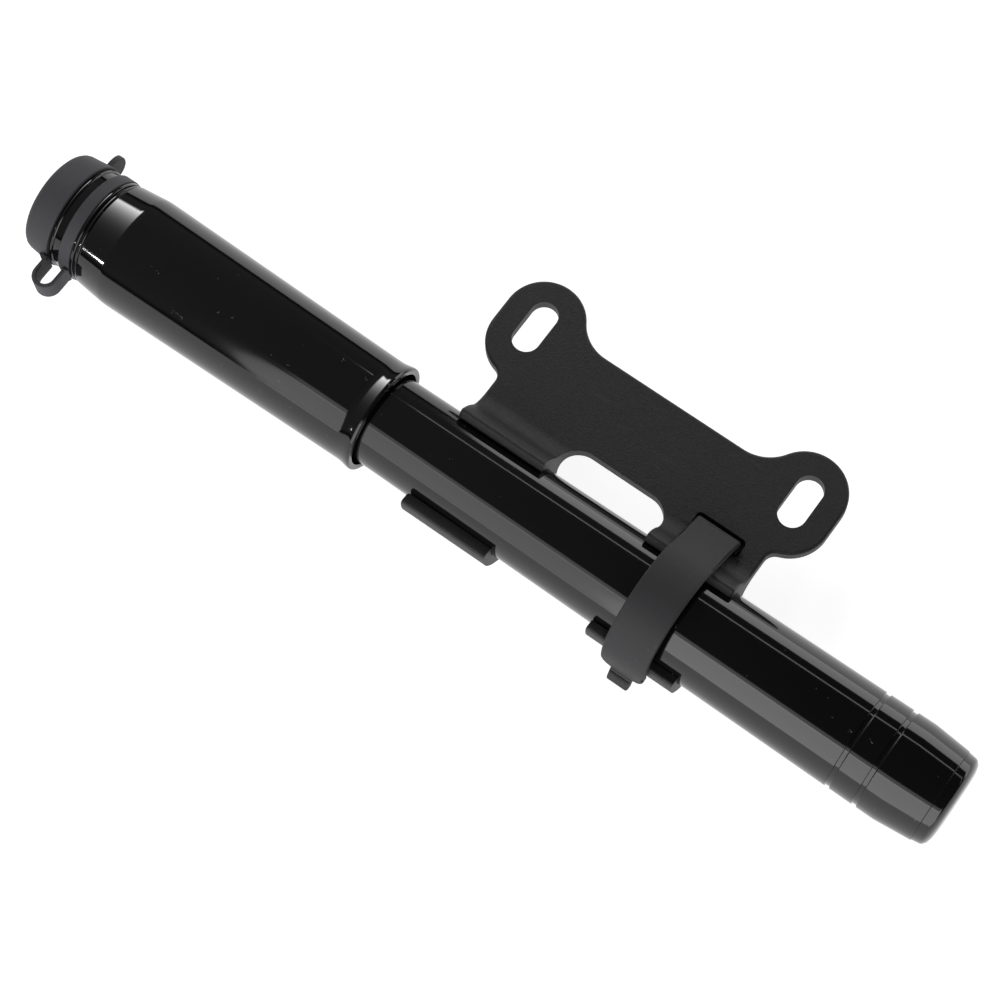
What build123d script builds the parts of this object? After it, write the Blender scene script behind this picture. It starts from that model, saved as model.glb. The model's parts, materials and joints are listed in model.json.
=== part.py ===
from build123d import *
import os
from math import acos, atan2, cos, degrees, radians, sin

# Mini pump in its frame bracket, in millimetres.
# Origin: midway between the two frame slots, on the back face of the bracket's plate.
# +X runs along the pump towards its closed end, +Y from the pump to the ears, +Z out of the plate.

# Pump axis
AXIS_Y = -32.9
AXIS_Z = 0.0

# Bracket
SLOT_SPACING = 64.0
SLOT_WIDTH = 5.9
SLOT_LENGTH = 12.0
PLATE_T = 2.6
PLATE_EDGE_Y = 2.7
EAR_X = 31.5
EAR_Y = -0.45
EAR_RADIUS = 8.6
EAR_RUN = 5.5
EAR_SHOULDER = 9.0
NECK_HALF = 32.3
CLIP_SHIFT = 0.5
NECK_FILLET = 2.6
WINDOW_HALF = 12.2
WINDOW_Y = -15.7
WINDOW_CORNER = 5.0
CLIP_OUTER = 12.6
CLIP_GAP = 0.08
LIP_UP_DEG = 40.0
LIP_DOWN_DEG = -80.0
LIP_ROUND = 0.7
WEB_TOP_FILLET = 5.0
WEB_BACK_FILLET = 4.0
EDGE_ROUND = 0.6

# Strap
STRAP_X = (17.6, 27.5)
STRAP_T = 1.8
STRAP_LOOP_R = 13.7
STRAP_SLOT_X = (16.9, 28.3)
STRAP_SLOT_Y = (-17.2, -13.0)
STRAP_NECK_Y = -15.0
STRAP_TURN_Z = 3.7
STRAP_BAR_X = (16.2, 29.0)
STRAP_BAR_Y = (-16.9, -12.3)
STRAP_BAR_Z = (-2.7, -0.1)
STRAP_BAR_CORNER = 1.2
STRAP_POCKET_GAP = 0.4
STRAP_POCKET_T = 0.4
STRAP_END_Z = -3.9
STRAP_CORNER = 2.8
TONGUE_WIDTH = 5.0
TONGUE_END_Z = -7.4
TONGUE_OUT = 1.6
CATCH_R = 0.9
CATCH_Z = -1.2
CATCH_LENGTH = 6.0
CATCH_PLAY = 0.2

# Barrel: an outer cone round a straight bore
BARREL_R_MID = 10.175
BARREL_TAPER = 0.00836
BARREL_OPEN_X = -107.5
BARREL_COVERED_X = -47.0
BARREL_SHOULDER_X = 78.0
BARREL_END_X = 85.9
BARREL_END_R = 10.1
BORE_R = 7.6
RING_GROOVES_X = (67.4, 73.5)
RING_GROOVE_WIDTH = 1.0
RING_GROOVE_DEPTH = 0.35

# End plug
PLUG_BEVEL_X = 87.9
PLUG_BEVEL_R = 9.67
DOME_X = 89.3
SPIGOT_X = 80.0
SPIGOT_R = 7.55
PLUG_STEP = 0.15
DOME_RIM_DROP = 0.3
DOME_FULLNESS = 0.93

# Seals share one cross-section
SEAL_GROOVE_WIDTH = 1.9
SEAL_GROOVE_DEPTH = 1.2
SEAL_WIDTH = 1.6
SEAL_ROUND = 0.5

# Guide bush in the barrel's open end, and what stands against it
BUSH_FLANGE_X = -110.0
BUSH_FLANGE_R = 10.57
BUSH_END_X = -98.0
ROD_R = 3.0
ROD_BORE = 1.5
ROD_GAP = 0.06
BUMPER_X = (-98.0, -94.5)
BUMPER_R = 6.6

# Piston
PISTON_X = (72.0, 79.0)
PISTON_R = 7.35
SEAL_GAP = 0.05
PISTON_SEAL_X = 75.5
PISTON_SCREW_R = 2.7
PISTON_SCREW_BORE = 0.7
PISTON_SCREW_T = 0.9
PISTON_SCREW_SHANK = 4.0
ROD_NUT_R = 5.2
ROD_NUT_T = 1.2

# Sleeve
SLEEVE_X = -114.8
SLEEVE_START_R = 11.77
SLEEVE_WIDE_X = -108.5
SLEEVE_WIDE_R = 12.47
SLEEVE_THIN_X = -49.6
SLEEVE_THIN_R = 11.62
RIM_R = 12.0
RIM_X = -45.3
SLEEVE_BORE = 10.65

# Valve head
HEAD_X = -122.4
COLLAR_R = 11.45
BAND_X = (-119.5, -116.75)
BAND_SEAT_R = 10.9
BAND_R = 11.85
BEADS = ((-116.6, -115.9, 11.65), (-115.6, -115.0, 11.55))
HEAD_WAIST_R = 11.2
HEAD_END_X = -111.5
HEAD_TAIL_R = 10.6
AIRWAY_R = 1.4
CHECK_X = (-118.2, -113.6)
CHECK_R = 2.2
BALL_R = 1.7
SEAT_T = 1.0
SPRING_R = 1.6
SPRING_SEAT_GAP = 0.04
SPRING_BALL_GAP = 0.95
SPRING_WIRE = 0.3
SPRING_TURNS = 3

# Chuck under the cap
NOSE_X = -127.0
NOSE_R = 8.5
CHUCK_MOUTH_R = 3.6
GROMMET_R = 6.2
GROMMET_BORE = 3.05
GROMMET_X = (-126.0, -120.4)
CORE_X = (-120.3, -118.6)
NUT_X = (-127.0, -122.5)
NUT_SEAT_R = 7.2
NUT_FACE_T = 0.4
NUT_FLUTES = 12
NUT_FLUTE_R = 0.5

# Dust cap and its loop
CAP_END_X = -129.3
CAP_END_R = 11.1
CAP_SKIRT_R = 11.85
CAP_BORE = 10.3
CAP_ROOF = 1.7
CAP_EDGE_ROUND = 1.0
TAB_X = (-125.3, -124.1)
TAB_OUT = 15.1
TAB_WIDTH = 6.2
TAB_ROUND = 2.9
LOOP_LIMB_X = (-122.05, -117.3)
LOOP_T = 0.95
LOOP_OUT = 18.2
LOOP_WIDTH = 4.8
LOOP_FOOT_X = (-123.9, -121.5)
LOOP_FOOT_T = 0.7

AXIS_PLANE = Plane((0, AXIS_Y, AXIS_Z), x_dir=(1, 0, 0), z_dir=(0, 0, 1))
PUMP_AXIS = Axis((0, AXIS_Y, AXIS_Z), (1, 0, 0))


def along(x):
    """The plane square to the pump at station x, with its origin on the pump axis."""
    return Plane((x, AXIS_Y, AXIS_Z), x_dir=(0, 1, 0), z_dir=(1, 0, 0))


def barrel_radius(x):
    """Outer radius of the barrel's cone at station x."""
    return BARREL_R_MID + BARREL_TAPER * x


def polar(radius, degrees):
    """A point round the pump axis in the cross plane, measured from +Z towards +Y."""
    angle = radians(degrees)
    return (AXIS_Y + radius * sin(angle), AXIS_Z + radius * cos(angle))


def save(builder, name):
    builder.part.label = name
    export_step(builder.part, f"parts/{name}.step")


os.makedirs("parts", exist_ok=True)

# Bracket: eared plate, web with its fillets, and two C-clips, opened by the window between them
OPENING_REACH = 2 * CLIP_OUTER
OPENING_MID_DEG = (LIP_UP_DEG + LIP_DOWN_DEG) / 2
with BuildPart() as bracket:
    with BuildSketch(Plane.XY) as plate_outline:
        with Locations((CLIP_SHIFT, (PLATE_EDGE_Y + WINDOW_Y) / 2)):
            Rectangle(2 * NECK_HALF, PLATE_EDGE_Y - WINDOW_Y)
        with Locations((EAR_X, EAR_Y), (-EAR_X, EAR_Y)):
            SlotCenterToCenter(EAR_RUN, 2 * EAR_RADIUS, rotation=90)
        shoulders = plate_outline.vertices().filter_by(
            lambda v: abs(v.Y - PLATE_EDGE_Y) < 0.01 and abs(v.X) < EAR_X
        )
        fillet(shoulders, EAR_SHOULDER)
        necks = plate_outline.vertices().filter_by(
            lambda v: abs(abs(v.X - CLIP_SHIFT) - NECK_HALF) < 0.01 and WINDOW_Y + 1 < v.Y < 0
        )
        fillet(necks, NECK_FILLET)
    extrude(amount=PLATE_T)
    with BuildSketch(Plane.YZ.offset(CLIP_SHIFT - NECK_HALF)) as clip_section:
        with Locations((AXIS_Y, AXIS_Z)):
            Circle(CLIP_OUTER)
        with Locations(((AXIS_Y + WINDOW_Y) / 2, PLATE_T / 2)):
            Rectangle(WINDOW_Y - AXIS_Y, PLATE_T)
        for web_radius, top in ((WEB_TOP_FILLET, True), (WEB_BACK_FILLET, False)):
            crotch = clip_section.vertices().filter_by(
                lambda v: AXIS_Y + 8 < v.X < WINDOW_Y - 4 and (v.Y > PLATE_T / 2) == top
            )
            fillet(crotch.sort_by(Axis.X)[-1:], web_radius)
        with Locations((AXIS_Y, AXIS_Z)):
            Circle(barrel_radius(CLIP_SHIFT - WINDOW_HALF) + CLIP_GAP, mode=Mode.SUBTRACT)
        with BuildLine():
            Polyline(
                (AXIS_Y, AXIS_Z),
                polar(OPENING_REACH, LIP_UP_DEG),
                polar(OPENING_REACH * 1.5, OPENING_MID_DEG),
                polar(OPENING_REACH, LIP_DOWN_DEG),
                close=True,
            )
        make_face(mode=Mode.SUBTRACT)
        lips = clip_section.vertices().filter_by(
            lambda v: v.Y > AXIS_Z + 2 and v.X < AXIS_Y + 9
        )
        fillet(lips, LIP_ROUND)
    extrude(amount=2 * NECK_HALF)
    with BuildSketch(along(0)):
        Circle(barrel_radius(CLIP_SHIFT + NECK_HALF) + CLIP_GAP)
    extrude(amount=CLIP_SHIFT + NECK_HALF, mode=Mode.SUBTRACT)
    with BuildSketch(Plane.XY.offset(-2 * CLIP_OUTER)) as window:
        with Locations((CLIP_SHIFT, WINDOW_Y - 2 * CLIP_OUTER)):
            Rectangle(2 * WINDOW_HALF, 4 * CLIP_OUTER)
        fillet(window.vertices().group_by(Axis.Y)[-1], WINDOW_CORNER)
    extrude(amount=4 * CLIP_OUTER, mode=Mode.SUBTRACT)
    with BuildSketch(Plane.XY):
        with Locations((SLOT_SPACING / 2, 0), (-SLOT_SPACING / 2, 0)):
            SlotOverall(SLOT_LENGTH, SLOT_WIDTH, rotation=90)
        with Locations((sum(STRAP_SLOT_X) / 2, sum(STRAP_SLOT_Y) / 2)):
            RectangleRounded(
                STRAP_SLOT_X[1] - STRAP_SLOT_X[0], STRAP_SLOT_Y[1] - STRAP_SLOT_Y[0], 1.0
            )
    extrude(amount=PLATE_T, mode=Mode.SUBTRACT)
    with BuildSketch(Plane.XY.offset(-STRAP_POCKET_T)):
        with Locations((sum(STRAP_BAR_X) / 2, sum(STRAP_BAR_Y) / 2)):
            RectangleRounded(
                STRAP_BAR_X[1] - STRAP_BAR_X[0] + 2 * STRAP_POCKET_GAP,
                STRAP_BAR_Y[1] - STRAP_BAR_Y[0] + 2 * STRAP_POCKET_GAP,
                STRAP_BAR_CORNER + STRAP_POCKET_GAP,
            )
    extrude(amount=2 * STRAP_POCKET_T, mode=Mode.SUBTRACT)
    with BuildSketch(Plane.YZ.offset((sum(STRAP_X) - CATCH_LENGTH) / 2)):
        with Locations((AXIS_Y - CLIP_OUTER + 0.1, CATCH_Z)):
            Circle(CATCH_R)
    extrude(amount=CATCH_LENGTH)
    plate_face = bracket.faces().filter_by(Plane.XY).filter_by(
        lambda f: abs(f.center().Z - PLATE_T) < 0.01
    )
    rim_edges = plate_face.sort_by(SortBy.AREA)[-1].outer_wire().edges()
    fillet(rim_edges.filter_by(lambda e: e.center().Y > -9), EDGE_ROUND)
save(bracket, "bracket")

# Strap: bar under the plate, neck through the slot, loop over the clip, rounded end, tongue
STRAP_MID_X = sum(STRAP_X) / 2
NECK_TO_AXIS = STRAP_NECK_Y - AXIS_Y
TURN_REACH = (NECK_TO_AXIS**2 + STRAP_TURN_Z**2) ** 0.5
STRAP_TOUCH_DEG = degrees(atan2(NECK_TO_AXIS, STRAP_TURN_Z) - acos(STRAP_LOOP_R / TURN_REACH))
with BuildPart() as strap:
    with BuildSketch(Plane.YZ.offset(STRAP_X[0])):
        with BuildLine():
            neck = Line((STRAP_NECK_Y, STRAP_BAR_Z[0]), (STRAP_NECK_Y, STRAP_TURN_Z))
            Line(neck @ 1, polar(STRAP_LOOP_R, STRAP_TOUCH_DEG))
            ThreePointArc(
                polar(STRAP_LOOP_R, STRAP_TOUCH_DEG),
                polar(STRAP_LOOP_R, -26),
                polar(STRAP_LOOP_R, -90),
            )
            Line(polar(STRAP_LOOP_R, -90), (AXIS_Y - STRAP_LOOP_R, STRAP_END_Z))
        trace(line_width=STRAP_T)
    extrude(amount=STRAP_X[1] - STRAP_X[0])
    fillet(strap.edges().filter_by(Axis.Y).group_by(Axis.Z)[0], STRAP_CORNER)
    with BuildSketch(Plane.XY.offset(STRAP_BAR_Z[0])):
        with Locations((sum(STRAP_BAR_X) / 2, sum(STRAP_BAR_Y) / 2)):
            RectangleRounded(
                STRAP_BAR_X[1] - STRAP_BAR_X[0], STRAP_BAR_Y[1] - STRAP_BAR_Y[0], STRAP_BAR_CORNER
            )
    extrude(amount=STRAP_BAR_Z[1] - STRAP_BAR_Z[0])
    with BuildSketch(Plane.YZ.offset(STRAP_MID_X - TONGUE_WIDTH / 2)):
        with BuildLine():
            Polyline(
                (AXIS_Y - STRAP_LOOP_R + STRAP_T / 2, STRAP_END_Z + 1),
                (AXIS_Y - STRAP_LOOP_R + STRAP_T / 2, STRAP_END_Z),
                (AXIS_Y - STRAP_LOOP_R - TONGUE_OUT + STRAP_T / 2, TONGUE_END_Z),
                (AXIS_Y - STRAP_LOOP_R - TONGUE_OUT - STRAP_T / 2, TONGUE_END_Z),
                (AXIS_Y - STRAP_LOOP_R - STRAP_T / 2, STRAP_END_Z),
                (AXIS_Y - STRAP_LOOP_R - STRAP_T / 2, STRAP_END_Z + 1),
                close=True,
            )
        make_face()
    extrude(amount=TONGUE_WIDTH)
    with BuildSketch(Plane.YZ.offset(STRAP_MID_X - CATCH_LENGTH / 2 - CATCH_PLAY)):
        with Locations((AXIS_Y - CLIP_OUTER + 0.1, CATCH_Z)):
            Circle(CATCH_R + CATCH_PLAY)
    extrude(amount=CATCH_LENGTH + 2 * CATCH_PLAY, mode=Mode.SUBTRACT)
save(strap, "strap")

# Barrel: tapered outside, straight bore, two ring grooves
with BuildPart() as barrel:
    with BuildSketch(AXIS_PLANE):
        with BuildLine():
            Polyline(
                (BARREL_OPEN_X, BORE_R),
                (BARREL_OPEN_X, barrel_radius(BARREL_COVERED_X)),
                (BARREL_COVERED_X, barrel_radius(BARREL_COVERED_X)),
                (BARREL_SHOULDER_X, barrel_radius(BARREL_SHOULDER_X)),
                (BARREL_END_X, BARREL_END_R),
                (BARREL_END_X, BORE_R),
                close=True,
            )
        make_face()
        for groove_x in RING_GROOVES_X:
            with Locations((groove_x, barrel_radius(groove_x))):
                Rectangle(RING_GROOVE_WIDTH, 2 * RING_GROOVE_DEPTH, mode=Mode.SUBTRACT)
    revolve(axis=PUMP_AXIS)
save(barrel, "barrel")

# End plug: bevel, shallow dome and a spigot with a groove for its seal
PLUG_SEAL_X = (SPIGOT_X + BARREL_END_X) / 2
with BuildPart() as end_plug:
    with BuildSketch(AXIS_PLANE):
        with BuildLine():
            rim = Polyline(
                (SPIGOT_X, 0),
                (SPIGOT_X, SPIGOT_R),
                (BARREL_END_X, SPIGOT_R),
                (BARREL_END_X, BARREL_END_R - PLUG_STEP),
                (PLUG_BEVEL_X, PLUG_BEVEL_R),
            )
            crown = Bezier(
                rim @ 1,
                (DOME_X - DOME_RIM_DROP, PLUG_BEVEL_R * DOME_FULLNESS),
                (DOME_X, PLUG_BEVEL_R / 2),
                (DOME_X, 0),
            )
            Line(crown @ 1, rim @ 0)
        make_face()
        with Locations((PLUG_SEAL_X, SPIGOT_R)):
            Rectangle(SEAL_GROOVE_WIDTH, 2 * SEAL_GROOVE_DEPTH, mode=Mode.SUBTRACT)
    revolve(axis=PUMP_AXIS)
save(end_plug, "end_plug")


def round_seal(station, inner_r, outer_r):
    """Profile of a rounded ring that fills its groove from inner_r to outer_r."""
    with Locations((station, (inner_r + outer_r) / 2)):
        RectangleRounded(SEAL_WIDTH, outer_r - inner_r, SEAL_ROUND)


with BuildPart() as end_plug_seal:
    with BuildSketch(AXIS_PLANE):
        round_seal(PLUG_SEAL_X, SPIGOT_R - SEAL_GROOVE_DEPTH + 0.02, BORE_R - 0.02)
    revolve(axis=PUMP_AXIS)
save(end_plug_seal, "end_plug_seal")

# Guide bush: flange that runs inside the sleeve, body in the bore, groove for the rod seal
BUSH_SEAL_X = (BUSH_FLANGE_X + BUSH_END_X) / 2
with BuildPart() as guide_bush:
    with BuildSketch(AXIS_PLANE):
        with BuildLine():
            Polyline(
                (BUSH_FLANGE_X, ROD_R + ROD_GAP),
                (BUSH_FLANGE_X, BUSH_FLANGE_R),
                (BARREL_OPEN_X, BUSH_FLANGE_R),
                (BARREL_OPEN_X, BORE_R - 0.02),
                (BUSH_END_X, BORE_R - 0.02),
                (BUSH_END_X, ROD_R + ROD_GAP),
                close=True,
            )
        make_face()
        with Locations((BUSH_SEAL_X, ROD_R)):
            Rectangle(SEAL_GROOVE_WIDTH, 2 * SEAL_GROOVE_DEPTH, mode=Mode.SUBTRACT)
    revolve(axis=PUMP_AXIS)
save(guide_bush, "guide_bush")

with BuildPart() as guide_seal:
    with BuildSketch(AXIS_PLANE):
        round_seal(BUSH_SEAL_X, ROD_R + ROD_GAP, ROD_R + SEAL_GROOVE_DEPTH - 0.02)
    revolve(axis=PUMP_AXIS)
save(guide_seal, "guide_seal")

with BuildPart() as stroke_bumper:
    with BuildSketch(AXIS_PLANE):
        with Locations((sum(BUMPER_X) / 2, (ROD_R + ROD_GAP + BUMPER_R) / 2)):
            Rectangle(BUMPER_X[1] - BUMPER_X[0], BUMPER_R - ROD_R - ROD_GAP)
    revolve(axis=PUMP_AXIS)
    fillet(stroke_bumper.edges().filter_by(GeomType.CIRCLE).group_by(Axis.X)[-1], 0.6)
save(stroke_bumper, "stroke_bumper")

# Sleeve: cone in at the head, long taper, bell mouth at the rim, straight bore
with BuildPart() as sleeve:
    with BuildSketch(AXIS_PLANE):
        with BuildLine():
            outside = Polyline(
                (SLEEVE_X, SLEEVE_BORE),
                (SLEEVE_X, SLEEVE_START_R),
                (SLEEVE_WIDE_X, SLEEVE_WIDE_R),
                (SLEEVE_THIN_X, SLEEVE_THIN_R),
            )
            bell = Bezier(
                outside @ 1,
                (SLEEVE_THIN_X + 1.2, SLEEVE_THIN_R),
                (RIM_X - 1.6, RIM_R - 0.1),
                (RIM_X - 0.9, RIM_R),
            )
            lip = RadiusArc(bell @ 1, (RIM_X, RIM_R - 0.75), -0.8)
            Polyline(lip @ 1, (RIM_X, SLEEVE_BORE), outside @ 0)
        make_face()
    revolve(axis=PUMP_AXIS)
save(sleeve, "sleeve")

# Valve head: collar, band seat, two beads and the tail that the sleeve is fixed on
with BuildPart() as valve_head:
    with BuildSketch(AXIS_PLANE):
        with BuildLine():
            Polyline(
                (HEAD_X, 0),
                (HEAD_X, COLLAR_R),
                (BAND_X[0], COLLAR_R),
                (BAND_X[0], BAND_SEAT_R),
                (BAND_X[1], BAND_SEAT_R),
                (BAND_X[1], HEAD_WAIST_R),
                (SLEEVE_X, HEAD_WAIST_R),
                (SLEEVE_X, HEAD_TAIL_R),
                (HEAD_END_X, HEAD_TAIL_R),
                (HEAD_END_X, 0),
                close=True,
            )
        make_face()
        for bead_start, bead_end, bead_r in BEADS:
            with Locations(((bead_start + bead_end) / 2, HEAD_WAIST_R / 2 + bead_r / 2)):
                RectangleRounded(bead_end - bead_start, bead_r - HEAD_WAIST_R + 0.6, 0.25)
        with Locations(((SLEEVE_X + HEAD_END_X) / 2, HEAD_TAIL_R)):
            Rectangle(SEAL_GROOVE_WIDTH, 2 * SEAL_GROOVE_DEPTH, mode=Mode.SUBTRACT)
    revolve(axis=PUMP_AXIS)
    with BuildSketch(along(NOSE_X)):
        Circle(NUT_SEAT_R)
    extrude(amount=HEAD_X - NOSE_X)
    with BuildSketch(along(NOSE_X)):
        Circle(GROMMET_R)
    extrude(amount=CORE_X[1] - NOSE_X, mode=Mode.SUBTRACT)
    with BuildSketch(along(CORE_X[1])):
        Circle(AIRWAY_R)
    extrude(amount=HEAD_END_X - CORE_X[1], mode=Mode.SUBTRACT)
    with BuildSketch(along(CHECK_X[0])):
        Circle(CHECK_R)
    extrude(amount=CHECK_X[1] - CHECK_X[0], mode=Mode.SUBTRACT)
    with BuildSketch(along(CHECK_X[1])):
        Circle(ROD_R)
    extrude(amount=HEAD_END_X - CHECK_X[1], mode=Mode.SUBTRACT)
save(valve_head, "valve_head")

with BuildPart() as sleeve_seal:
    with BuildSketch(AXIS_PLANE):
        round_seal(
            (SLEEVE_X + HEAD_END_X) / 2, HEAD_TAIL_R - SEAL_GROOVE_DEPTH + 0.02, SLEEVE_BORE - 0.01
        )
    revolve(axis=PUMP_AXIS)
save(sleeve_seal, "sleeve_seal")

# Check valve in the head: seat ring, ball and spring
SEAT_X = CHECK_X[1] - SEAT_T
BALL_X = SEAT_X - (BALL_R**2 - AIRWAY_R**2) ** 0.5 - 0.02
with BuildPart() as check_seat:
    with BuildSketch(along(SEAT_X)):
        Circle(CHECK_R - 0.02)
        Circle(AIRWAY_R, mode=Mode.SUBTRACT)
    extrude(amount=SEAT_T)
save(check_seat, "check_seat")

with BuildPart() as check_ball:
    with Locations((BALL_X, AXIS_Y, AXIS_Z)):
        Sphere(BALL_R)
save(check_ball, "check_ball")

SPRING_X = (CHECK_X[0] + SPRING_WIRE / 2 + SPRING_SEAT_GAP, BALL_X - SPRING_BALL_GAP)
SPRING_LENGTH = SPRING_X[1] - SPRING_X[0]
with BuildPart() as check_spring:
    with BuildLine() as coil:
        Helix(
            SPRING_LENGTH / SPRING_TURNS,
            SPRING_LENGTH,
            SPRING_R,
            center=(SPRING_X[0], AXIS_Y, AXIS_Z),
            direction=(1, 0, 0),
        )
    with BuildSketch(Plane(coil.line @ 0, z_dir=coil.line % 0)):
        Circle(SPRING_WIRE / 2)
    sweep(is_frenet=True)
save(check_spring, "check_spring")

# Chuck: core insert, grommet that grips the tyre valve, and the nut over it
with BuildPart() as chuck_core:
    with BuildSketch(along(CORE_X[0])):
        Circle(GROMMET_R - 0.03)
        Circle(AIRWAY_R, mode=Mode.SUBTRACT)
    extrude(amount=CORE_X[1] - CORE_X[0])
save(chuck_core, "chuck_core")

with BuildPart() as chuck_grommet:
    with BuildSketch(along(GROMMET_X[0])):
        Circle(GROMMET_R - 0.03)
        Circle(GROMMET_BORE, mode=Mode.SUBTRACT)
    extrude(amount=GROMMET_X[1] - GROMMET_X[0])
    fillet(chuck_grommet.edges().filter_by(GeomType.CIRCLE).group_by(Axis.X)[0][-1:], 0.4)
save(chuck_grommet, "chuck_grommet")

with BuildPart() as chuck_nut:
    with BuildSketch(along(NUT_X[0] - NUT_FACE_T)):
        Circle(NOSE_R)
    extrude(amount=NUT_X[1] - NUT_X[0] + NUT_FACE_T)
    with BuildSketch(along(NUT_X[0])):
        Circle(NUT_SEAT_R + ROD_GAP)
    extrude(amount=NUT_X[1] - NUT_X[0], mode=Mode.SUBTRACT)
    with BuildSketch(along(NUT_X[0] - NUT_FACE_T)):
        Circle(CHUCK_MOUTH_R)
    extrude(amount=NUT_FACE_T, mode=Mode.SUBTRACT)
    with BuildSketch(along(NUT_X[0] - NUT_FACE_T)):
        with PolarLocations(NOSE_R, NUT_FLUTES):
            Circle(NUT_FLUTE_R)
    extrude(amount=NUT_X[1] - NUT_X[0] + NUT_FACE_T, mode=Mode.SUBTRACT)
save(chuck_nut, "chuck_nut")

# Piston rod, the nut that locks it in the head, and the piston on its far end
with BuildPart() as piston_rod:
    with BuildSketch(along(CHECK_X[1])):
        Circle(ROD_R - 0.02)
        Circle(ROD_BORE, mode=Mode.SUBTRACT)
    extrude(amount=PISTON_X[1] - CHECK_X[1])
save(piston_rod, "piston_rod")

with BuildPart() as rod_nut:
    with BuildSketch(along(HEAD_END_X)):
        RegularPolygon(ROD_NUT_R, 6)
        Circle(ROD_R, mode=Mode.SUBTRACT)
    extrude(amount=ROD_NUT_T)
save(rod_nut, "rod_nut")

with BuildPart() as piston:
    with BuildSketch(AXIS_PLANE):
        with Locations((sum(PISTON_X) / 2, (ROD_R + PISTON_R) / 2)):
            Rectangle(PISTON_X[1] - PISTON_X[0], PISTON_R - ROD_R)
        with Locations((PISTON_SEAL_X, PISTON_R)):
            Rectangle(SEAL_GROOVE_WIDTH, 2 * SEAL_GROOVE_DEPTH, mode=Mode.SUBTRACT)
    revolve(axis=PUMP_AXIS)
save(piston, "piston")

with BuildPart() as piston_seal:
    with BuildSketch(AXIS_PLANE):
        round_seal(PISTON_SEAL_X, PISTON_R - SEAL_GROOVE_DEPTH + 0.02, BORE_R - SEAL_GAP)
    revolve(axis=PUMP_AXIS)
save(piston_seal, "piston_seal")

with BuildPart() as piston_screw:
    with BuildSketch(along(PISTON_X[1])):
        Circle(PISTON_SCREW_R)
        Circle(PISTON_SCREW_BORE, mode=Mode.SUBTRACT)
    extrude(amount=PISTON_SCREW_T)
    with BuildSketch(along(PISTON_X[1] - PISTON_SCREW_SHANK)):
        Circle(ROD_BORE - 0.02)
        Circle(PISTON_SCREW_BORE, mode=Mode.SUBTRACT)
    extrude(amount=PISTON_SCREW_SHANK)
save(piston_screw, "piston_screw")

# Rubber band round the head, the loop that tethers the cap, and the cap with its tab
with BuildPart() as head_band:
    with BuildSketch(AXIS_PLANE):
        with Locations((sum(BAND_X) / 2, (BAND_SEAT_R + BAND_R) / 2)):
            Rectangle(BAND_X[1] - BAND_X[0] - 0.04, BAND_R - BAND_SEAT_R - 0.04)
    revolve(axis=PUMP_AXIS)
save(head_band, "head_band")

LOOP_BEND_X = sum(LOOP_LIMB_X) / 2
LOOP_BEND_R = (LOOP_LIMB_X[1] - LOOP_LIMB_X[0]) / 2
LOOP_BEND_Y = AXIS_Y - LOOP_OUT + LOOP_BEND_R + LOOP_T / 2
LOOP_FOOT_Y = AXIS_Y - CAP_SKIRT_R - 0.02
with BuildPart() as tether_loop:
    with BuildSketch(Plane.XY.offset(AXIS_Z - LOOP_WIDTH / 2)):
        with BuildLine():
            Line((LOOP_LIMB_X[0], LOOP_FOOT_Y), (LOOP_LIMB_X[0], LOOP_BEND_Y))
            ThreePointArc(
                (LOOP_LIMB_X[0], LOOP_BEND_Y),
                (LOOP_BEND_X, LOOP_BEND_Y - LOOP_BEND_R),
                (LOOP_LIMB_X[1], LOOP_BEND_Y),
            )
            Line((LOOP_LIMB_X[1], LOOP_BEND_Y), (LOOP_LIMB_X[1], LOOP_FOOT_Y))
        trace(line_width=LOOP_T)
        with Locations((sum(LOOP_FOOT_X) / 2, LOOP_FOOT_Y - LOOP_FOOT_T / 2)):
            Rectangle(LOOP_FOOT_X[1] - LOOP_FOOT_X[0], LOOP_FOOT_T)
    extrude(amount=LOOP_WIDTH)
save(tether_loop, "tether_loop")

with BuildPart() as dust_cap:
    with BuildSketch(AXIS_PLANE):
        with BuildLine():
            Polyline(
                (CAP_END_X, 0),
                (CAP_END_X, CAP_END_R - CAP_EDGE_ROUND),
                (CAP_END_X + CAP_EDGE_ROUND * 0.3, CAP_END_R - CAP_EDGE_ROUND * 0.3),
                (CAP_END_X + CAP_EDGE_ROUND, CAP_END_R),
                (HEAD_X - 0.05, CAP_SKIRT_R),
                (HEAD_X - 0.05, CAP_BORE),
                (CAP_END_X + CAP_ROOF, CAP_BORE),
                (CAP_END_X + CAP_ROOF, 0),
                close=True,
            )
        make_face()
    revolve(axis=PUMP_AXIS)
    with BuildSketch(Plane((0, AXIS_Y + CAP_BORE + 0.5, AXIS_Z), x_dir=(1, 0, 0), z_dir=(0, 1, 0))):
        with Locations((sum(TAB_X) / 2, 0)):
            Rectangle(TAB_X[1] - TAB_X[0], TAB_WIDTH)
    extrude(amount=TAB_OUT - CAP_BORE - 0.5)
    tips = dust_cap.edges().filter_by(Axis.X).group_by(Axis.Y)[-1]
    fillet(tips, TAB_ROUND)
    with BuildSketch(along(HEAD_X - 0.05)):
        Circle(CAP_SKIRT_R + 0.1)
    extrude(amount=4, mode=Mode.SUBTRACT)
save(dust_cap, "dust_cap")
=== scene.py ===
import json
from math import atan2, acos, cos, degrees, hypot, pi, radians, sin

import bmesh
import bpy
from bpy.props import FloatProperty, FloatVectorProperty, PointerProperty
from mathutils import Matrix, Vector


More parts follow.
